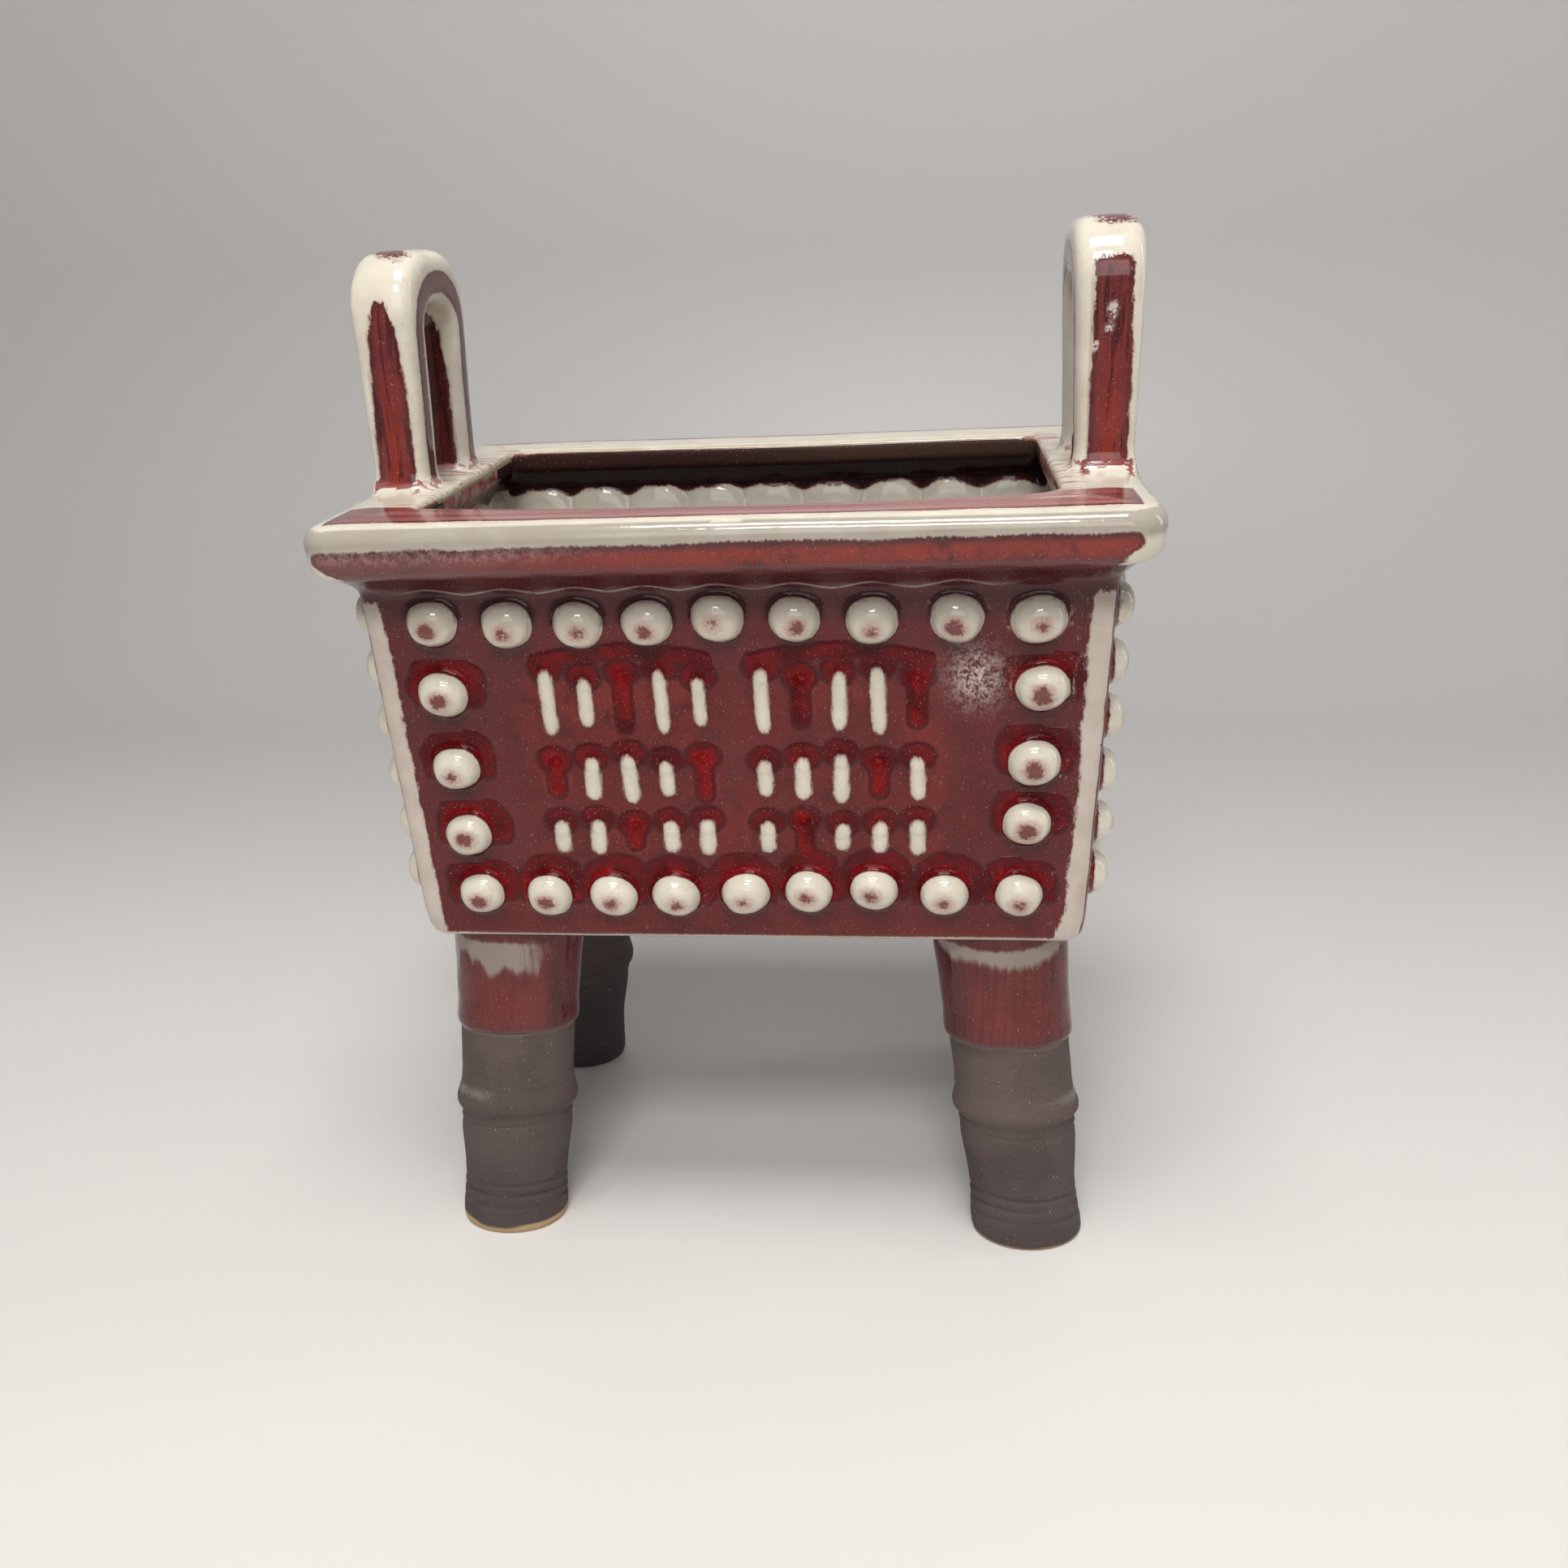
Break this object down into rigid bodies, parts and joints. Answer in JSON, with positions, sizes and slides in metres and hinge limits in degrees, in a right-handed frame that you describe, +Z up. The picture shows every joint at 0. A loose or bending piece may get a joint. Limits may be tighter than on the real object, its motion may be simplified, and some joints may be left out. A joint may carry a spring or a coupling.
{
  "type": "ceramic incense burner",
  "caption": "Footed rectangular vessel with a flanged rim, loop handles on its short sides and studded walls, for burning incense on ash.",
  "frame": {"origin": "on the table, under the middle of the burner, in the plane of the four feet", "axes": "+Z up, +X along the long side, -Y out of the face that carries the raised strokes"},
  "size_m": [0.1538, 0.1064, 0.206],
  "materials": {
    "red_glaze": "glossy copper-red glaze breaking to cream on raised edges, bare grey-brown clay on the lower legs"
  },
  "bodies": {
    "root": {"incense_burner": "red_glaze"}
  },
  "joints": []
}
